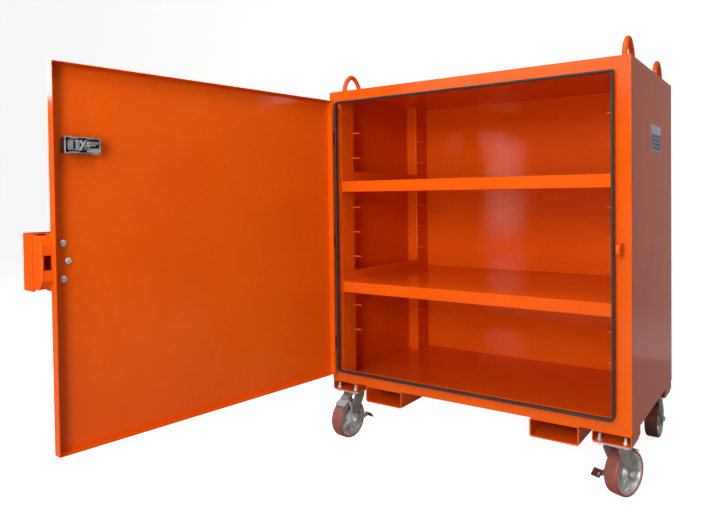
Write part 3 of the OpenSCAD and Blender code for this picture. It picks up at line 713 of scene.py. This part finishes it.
# ---------------------------------------------------------------- lock fittings on the door
def make_lock_bolts():
    """Carriage bolts through the door: domed heads inside, washers and nuts outside."""
    s = Shape(DOOR_M)
    for dx, dz in ((-0.033, 0.050), (-0.047, 0.0), (-0.033, -0.050)):
        x, z = DOOR_EDGE + dx, LOCK_Z + dz
        at = turned("y", (x, DOOR_IN, z))
        s.lathe([(0, -0.002), (0.0050, -0.002), (0.0050, 0), (0.0100, 0), (0.0100, 0.0009), (0.0096, 0.0022),
                 (0.0083, 0.0038), (0.0062, 0.0051), (0.0040, 0.0056), (0.0038, 0.0050), (0.0036, 0.0040),
                 (0, 0.0040)], at, 36)
        back = turned("-y", (x, DOOR_FACE - 0.003, z))
        s.lathe([(0, 0), (0.0095, 0), (0.0095, 0.0014), (0, 0.0014)], back, 28)
        s.hexagon(0.0160, 0.0014, 0.0080, back)
        s.thread(0.0050, 0.0078, 0.0149, back)
    piece("carriage_bolts", s, ZINC, "door", ("lock_bolts",), degrees=30)


make_lock_bolts()


def make_lock_welds():
    """Beads round the guard's outline, at the door's edge and along the lock housing."""
    s = Shape(DOOR_M)
    guard = DOOR_EDGE + 0.029
    step = DOOR_FACE - 0.032
    face = DOOR_FACE + 0.017
    z0, z1 = LOCK_Z - 0.074, LOCK_Z + 0.074
    s.bead([(guard + 0.0002, step, z0 + 0.002), (guard + 0.0002, step, z1 - 0.002)], 0.0026)
    outline = ((step, z1 - 0.0002), (face - 0.025, z1 - 0.0002), (face - 0.0004, z1 - 0.025),
               (face - 0.0004, z0 + 0.025), (face - 0.025, z0 + 0.0002), (step, z0 + 0.0002))
    s.bead([(guard - 0.0004, y, z) for y, z in outline], 0.0015)
    s.bead([(DOOR_EDGE + 0.0005, face - 0.003, z0 + 0.027),
            (DOOR_EDGE + 0.0005, face - 0.003, z1 - 0.027)], 0.0019)
    left, skin = DOOR_EDGE - 0.075, DOOR_FACE - 0.0002
    s.bead([(left, skin, LOCK_Z - 0.078), (left, skin, LOCK_Z + 0.079)], 0.0024)
    s.bead([(left, skin, LOCK_Z + 0.0795), (DOOR_EDGE - 0.002, skin, LOCK_Z + 0.0795)], 0.0022)
    piece("lock_welds", s, ORANGE, "door", degrees=60)


make_lock_welds()


def make_hinge_details():
    """Pins, and the weld beads of leaves and knuckles."""
    pins = Shape()
    for level in HINGE_LEVELS:
        z = BASE + level
        pins.lathe([(0, z - 0.0006), (0.0030, z - 0.0006), (0.0035, z), (0.0035, z + 0.0912),
                    (0.0026, z + 0.0920), (0, z + 0.0920)], Matrix.Translation((PIN.x, PIN.y, 0)), 20)
    piece("hinge_spindles", pins, ZINC, "cabinet", ("hinge_pins",))
    frame_side, door_side = Shape(), Shape(DOOR_M)
    for level in HINGE_LEVELS:
        z = BASE + level
        for x in (PIN.x - 0.0062, PIN.x - 0.0028):
            frame_side.bead([(x, FRONT - 0.0005, z + 0.001), (x, FRONT - 0.0005, z + 0.047)], 0.0017)
        z += 0.049
        x, y = DOOR_LEFT - 0.0005, PIN.y + 0.0152
        door_side.bead([(x, y, z + 0.001), (x, y, z + 0.047)], 0.0012)
    piece("hinge_welds", frame_side, ORANGE, "cabinet", degrees=60)
    piece("knuckle_welds", door_side, ORANGE, "door", degrees=60)


make_hinge_details()


def make_cabinet_welds():
    """Beads at the staple, the underside and the shelf tabs."""
    s = Shape()
    a, b = low("hasp_staple"), high("hasp_staple")
    for x in (a.x, b.x):
        s.bead([(x, FRONT - 0.0003, a.z + 0.001), (x, FRONT - 0.0003, b.z - 0.001)], 0.0020)
    # stitch welds where pockets and castor tubes meet the underside
    for node in ("fork_pocket_left", "fork_pocket_right"):
        lo, hi = low(node), high(node)
        for x in (lo.x, hi.x):
            for k in range(4):
                y = lo.y + 0.03 + k * 0.20
                s.bead([(x, y, BASE - 0.0006), (x, y + 0.045, BASE - 0.0006)], 0.0026)
    for key in CORNERS:
        lo, hi = low("castor_tube_" + key), high("castor_tube_" + key)
        for x in (lo.x, min(hi.x, HALF_W - 0.003)):
            s.bead([(x, lo.y + 0.012, BASE - 0.0006), (x, lo.y + 0.045, BASE - 0.0006)], 0.0022)
            s.bead([(x, hi.y - 0.045, BASE - 0.0006), (x, hi.y - 0.012, BASE - 0.0006)], 0.0022)
    piece("body_welds", s, ORANGE, "cabinet", degrees=60)
    t = Shape()
    # tack on each shelf tab, under and over it
    box_lo, box_hi = low("shelf_tabs"), high("shelf_tabs")
    inner = low("post_front_right").x
    for sgn in (-1, 1):
        for y in (box_lo.y + 0.005, box_hi.y - 0.005):
            for k in range(9):
                z = box_lo.z + 0.0025 + 0.1 * k
                x = sgn * (inner - 0.0004)
                t.bead([(x, y - 0.004, z + 0.0026), (x, y + 0.004, z + 0.0026)], 0.0012)
                t.bead([(x, y - 0.004, z - 0.0026), (x, y + 0.004, z - 0.0026)], 0.0012)
    piece("tab_welds", t, ORANGE, "cabinet", degrees=60)


make_cabinet_welds()


# ---------------------------------------------------------------- data plate
def make_plate():
    """Plate without text: a bright band, a blue field with three plain bars, and four rivets."""
    lo, hi = low("data_plate"), high("data_plate")
    face = lo.x + 0.0008
    blank = Shape()
    blank.prism(rect(lo.y, lo.z, hi.y, hi.z, 0.004), "x", lo.x, face, 0.0002)
    band = hi.z - 0.030
    blank.prism(rect(lo.y + 0.0115, band, hi.y - 0.0115, hi.z - 0.005, 0.0015),
                "x", face, lo.x + 0.0011, 0.0001)
    piece("plate_blank", blank, PLATE_SILVER, "cabinet", ("data_plate",))
    field = Shape()
    field.prism(rect(lo.y + 0.0035, lo.z + 0.0035, hi.y - 0.0035, band - 0.002, 0.0015),
                "x", face, lo.x + 0.0010, 0.0001)
    piece("plate_field", field, PLATE_BLUE, "cabinet")
    bars = Shape()
    for k in range(3):
        z = lo.z + 0.015 + k * 0.0135
        bars.prism(rect(lo.y + 0.018, z, hi.y - 0.018, z + 0.0032, 0.0008, 2),
                   "x", lo.x + 0.0010, lo.x + 0.0012, 0.00005)
    piece("plate_fields", bars, PLATE_SILVER, "cabinet")
    rivets = Shape()
    dome = [(0, 0), (0.0024, 0), (0.0023, 0.0005), (0.0017, 0.0009), (0.0008, 0.00115), (0, 0.0012)]
    for y in (lo.y + 0.006, hi.y - 0.006):
        for z in (lo.z + 0.006, hi.z - 0.006):
            rivets.lathe(dome, turned("x", (face, y, z)), 20)
    piece("plate_rivet_heads", rivets, ZINC, "cabinet", ("plate_rivets",), degrees=60)


make_plate()


# ---------------------------------------------------------------- latch
def make_latch():
    """Open case: a zinc rim over walls and floor painted near-black as the shade inside the case and beside
    it; its cover plates over the bolt, a crossed lever and a rod.
    """
    cx, cz, y0 = DOOR_EDGE - 0.081, LATCH_Z, DOOR_IN
    x0, x1, z0, z1 = cx - 0.050, cx + 0.050, cz - 0.0225, cz + 0.0225
    rim, face = y0 + 0.0300, y0 + 0.0283
    s = Shape(DOOR_M)

    def ring(inset, r, y):
        return [(p.x, y, p.y) for p in rect(x0 + inset, z0 + inset, x1 - inset, z1 - inset, r, 5)]

    s.loft([ring(0, 0.005, rim - 0.0042), ring(0, 0.005, rim - 0.0008), ring(0.0006, 0.0046, rim),
            ring(0.0022, 0.0032, rim - 0.0003), ring(0.0024, 0.0030, rim - 0.0042)], closed=True)
    # walls and floor of the case, painted near-black: painted shade of the cavity and of the shaded band
    # beside the case
    case = Shape(DOOR_M)
    case.loft([ring(0.0003, 0.005, y0), ring(0.0003, 0.005, rim - 0.0040), ring(0.0022, 0.003, rim - 0.0040),
               ring(0.0022, 0.003, y0)], closed=True)
    case.prism([(p[0], p[2]) for p in ring(0.0020, 0.003, 0)], "y", y0 + 0.0012, y0 + 0.0060)
    piece("latch_body_painted_shade", case, DARK_STEEL_AND_SHADE, "door")

    def flat(xa, za, xb, zb, r, steps, ya, yb, edge):
        s.prism(rect(xa, za, xb, zb, r, steps), "y", ya, yb, edge)

    # ears at the corners
    for x, z in ((x1 - 0.011, z1), (x1 - 0.011, z0), (x0 + 0.011, z0)):
        flat(x - 0.009, z - 0.0015, x + 0.009, z + 0.0015, 0.0012, 3, y0 + 0.020, y0 + 0.0292, 0.0005)
    # cover over the bolt, with a tall window
    for a, b in ((cx + 0.0275, x1 - 0.0075), (cx + 0.0105, cx + 0.0215)):
        flat(a, cz - 0.0140, b, cz + 0.0140, 0.0025, 4, face, rim + 0.0006, 0.0007)
    for z in (cz - 0.0140, cz + 0.0116):
        flat(cx + 0.020, z, cx + 0.029, z + 0.0024, 0.0006, 2, face, rim, 0.0004)
    for z in (z0 + 0.0010, z1 - 0.0050):
        flat(cx + 0.012, z, x1 - 0.013, z + 0.0040, 0.001, 2, face - 0.002, rim - 0.0012, 0.0005)
    # crossed lever
    for a, b in (((0.008, 0.0150), (-0.009, -0.0105)), ((0.010, -0.0165), (-0.008, 0.0135))):
        s.tube([(cx + a[0], face + 0.0008, cz + a[1]), (cx + 0.0005, face + 0.0022, cz + 0.001),
                (cx + b[0], face + 0.0008, cz + b[1])], [0.0017, 0.0034, 0.0017], 14)
    flat(cx - 0.0115, cz - 0.0095, cx + 0.0110, cz + 0.0095, 0.003, 4, face - 0.0030, face - 0.0006, 0.0007)
    flat(cx - 0.0075, cz - 0.0150, cx + 0.0050, cz + 0.0155, 0.003, 4, face - 0.0040, face - 0.0028, 0.0005)
    # plates of the tail end, a long slot between them, and the rod
    flat(x0 + 0.0030, z1 - 0.0052, cx - 0.010, z1 - 0.0016, 0.001, 2, face - 0.003, rim - 0.0010, 0.0005)
    flat(x0 + 0.0060, cz + 0.0035, cx - 0.013, cz + 0.0120, 0.0025, 4, face, rim + 0.0002, 0.0008)
    flat(x0 + 0.0035, z0 + 0.0035, cx - 0.012, cz - 0.0068, 0.0030, 4, y0 + 0.0225, y0 + 0.0265, 0.0008)
    s.tube([(cx - 0.004, face + 0.0006, cz + 0.0005), (cx - 0.018, face + 0.0020, cz + 0.0003),
            (x0 + 0.016, face + 0.0012, cz)], 0.0021)
    # rivets
    for dx, dz in ((-0.042, -0.015), (-0.020, -0.0165), (0.035, 0.0), (0.015, 0.010)):
        s.lathe([(0, 0), (0.0022, 0), (0.0020, 0.0007), (0.0010, 0.0012), (0, 0.0013)],
                turned("y", (cx + dx, (rim + 0.0005 if dx > 0 else y0 + 0.0263), cz + dz)), 18)
    piece("latch_tray", s, LATCH_ZINC, "door", ("latch_case",))
    # bolt, thinned behind the window
    bolt = Shape(DOOR_M)
    b0, b1 = y0 + 0.0200, y0 + 0.0279
    tail, tip = cx - 0.009, x1 + 0.0005
    bolt.box((tail, b0, cz - 0.0060), (cx + 0.019, b1, cz + 0.0060))
    bolt.box((cx + 0.019, b0, cz - 0.0060), (cx + 0.030, b0 + 0.0020, cz + 0.0060))
    bolt.prism([(cx + 0.030, b0), (tip, b0), (tip, b1 - 0.003), (tip - 0.003, b1), (cx + 0.030, b1)],
               "z", cz - 0.0060, cz + 0.0060)
    bolt.box((tail, b0, cz - 0.0140), (tail + 0.007, b1, cz + 0.0140))
    piece("latch_bolt_bar", bolt, DARK_STEEL_AND_SHADE, "latch_bolt", ("latch_bolt",))


make_latch()


def make_handle():
    """Turn handle on the door's outside, with its spindle and the cam inside the latch."""
    lo, hi = LATCH_Z - 0.046, LATCH_Z + 0.046
    x = DOOR_EDGE - 0.099
    s = Shape(DOOR_M)
    s.lathe([(0, 0.0005), (0.0220, 0.0005), (0.0220, 0.0030), (0.0205, 0.0052), (0.0130, 0.0060),
             (0.0095, 0.0085), (0.0085, 0.0300), (0, 0.0300)], turned("-y", (x, DOOR_FACE, LATCH_Z)), 48)
    grip = []
    y = DOOR_FACE - 0.036
    for k in range(13):
        t = k / 12
        z = lo + (hi - lo) * t
        w = 0.0068 + 0.0022 * (2 * t - 1) ** 2
        d = 0.0052
        if k in (0, 12):
            w, d = w * 0.62, d * 0.62
        grip.append([(x + w * u, y + d * v, z) for u, v in circle(1, 20)])
    s.loft(grip)
    s.lathe([(0, 0), (0.0059, 0), (0.0059, 0.0265), (0, 0.0265)],
            turned("y", (x, DOOR_FACE - 0.001, LATCH_Z)), 20)
    piece("turn_handle", s, BLACK, "latch_handle", ("latch_handle",), degrees=40)
    c = Shape(DOOR_M)
    cam = rounded([(x - 0.0075, LATCH_Z - 0.0075), (x + 0.0075, LATCH_Z - 0.0075),
                   (x + 0.006, LATCH_Z + 0.017), (x - 0.004, LATCH_Z + 0.017)], 0.0035)
    c.prism(cam, "y", DOOR_IN + 0.0110, DOOR_IN + 0.0145, 0.0006)
    c.hexagon(0.0100, 0, 0.0035, turned("y", (x, DOOR_IN + 0.0230, LATCH_Z)))
    piece("latch_cam", c, ZINC, "latch_handle")


make_handle()


# ---------------------------------------------------------------- stage, light and camera
def stage_look():
    """Pale to the camera, but dim to the paint, so that the gloss doesn't wash out."""
    look = Look("pale_floor", Roughness=0.8, Specular_IOR_Level=0.1)
    seen = look.node("LightPath").outputs["Is Camera Ray"]
    patch = look.ramp(look.noise(0.7, 3.0), (0.3, 0.88), (0.7, 0.92))
    look.colour(look.mix(seen, (0.34, 0.34, 0.34), patch))
    look.tree.links.new(seen, look.shader.inputs["Emission Strength"])
    look.shader.inputs["Emission Color"].default_value = (0.82, 0.82, 0.82, 1)
    return look.material


def make_stage():
    """Pale floor that sweeps up into a plain backdrop."""
    bm = bmesh.new()
    near, back, sweep, height = -24.0, 5.5, 2.0, 7.0
    bend = [math.pi / 2 * k / 16 for k in range(1, 17)]
    line = [(near, 0.0), (back - sweep, 0.0)]
    line += [(back - sweep + sweep * math.sin(a), sweep - sweep * math.cos(a)) for a in bend]
    line.append((back, height))
    rows = [[bm.verts.new((x, y, z)) for x in (-30.0, 14.0)] for y, z in line]
    for a, b in zip(rows, rows[1:]):
        bm.faces.new((a[0], a[1], b[1], b[0]))
    mesh = bpy.data.meshes.new("studio_floor")
    bm.to_mesh(mesh)
    bm.free()
    smooth(mesh, 60)
    floor = bpy.data.objects.new("studio_floor", mesh)
    bpy.context.scene.collection.objects.link(floor)
    mesh.materials.append(stage_look())


def area_light(name, at, target, size, power, colour=(1, 1, 1)):
    """Rectangular lamp at a point, turned to a target."""
    data = bpy.data.lights.new(name, "AREA")
    data.shape = "RECTANGLE"
    data.size, data.size_y = size
    data.energy = power
    data.color = colour
    lamp = bpy.data.objects.new(name, data)
    lamp.location = at
    lamp.rotation_euler = (Vector(target) - Vector(at)).to_track_quat("-Z", "Y").to_euler()
    bpy.context.scene.collection.objects.link(lamp)


make_stage()
world = bpy.data.worlds.new("studio")
world.use_nodes = True
world.node_tree.nodes["Background"].inputs["Color"].default_value = (1, 1, 1, 1)
world.node_tree.nodes["Background"].inputs["Strength"].default_value = 0.12
bpy.context.scene.world = world
area_light("key", (0.72, -3.8, 1.85), (0, 0, 0.8), (1.0, 0.8), 50)
area_light("sky", (-0.6, -3.8, 3.2), (0, 0, 0.8), (3.6, 3.0), 66)
area_light("low_front", (0.55, -3.9, 0.5), (0, 0.2, 0.4), (0.9, 0.7), 32)
area_light("overhead", (0.2, -0.9, 4.4), (0, -0.2, 0), (2.6, 2.6), 16)
area_light("door_fill", (0.9, -1.3, 3.6), (-0.3, -0.8, 0.6), (1.2, 1.2), 28)
area_light("doorway", (0.31, -8.0, 1.25), (-0.6, -0.8, 1.0), (0.20, 1.9), 66)
area_light("rear_fill", (-1.8, 3.4, 2.8), (0, 0, 0.8), (2.0, 1.6), 34)
area_light("window", (-3.1, -2.15, 2.15), (-0.69, -1.44, 1.2), (0.5, 1.1), 16, (0.72, 0.85, 1.0))
area_light("side_fill", (2.6, 2.0, 1.4), (0.5, 0, 0.8), (1.1, 2.0), 22)
area_light("side_card", (0.9, 1.6, 0.95), (0.57, -1.2, 0.95), (0.44, 1.9), 0.38, (1.0, 0.95, 0.90))


def make_camera():
    """Camera of the photograph, as found from the object's corners."""
    data = bpy.data.cameras.new("photo_view")
    data.lens = 31.38
    data.sensor_width = 36.0
    data.shift_y = -0.073
    cam = bpy.data.objects.new("photo_view", data)
    at = Vector((0.9951, -2.3822, 0.9677))
    yaw, pitch, roll = 0.6063, -0.0200, -0.0119
    ahead = Vector((-math.sin(yaw) * math.cos(pitch), math.cos(yaw) * math.cos(pitch), math.sin(pitch)))
    right = Vector((math.cos(yaw), math.sin(yaw), 0))
    up = right.cross(ahead)
    c, s = math.cos(roll), math.sin(roll)
    right, up = right * c + up * s, up * c - right * s
    cam.matrix_world = Matrix([(right[i], up[i], -ahead[i], at[i]) for i in range(3)] + [(0, 0, 0, 1)])
    bpy.context.scene.collection.objects.link(cam)
    bpy.context.scene.camera = cam


make_camera()
bpy.context.scene.view_settings.view_transform = "Standard"
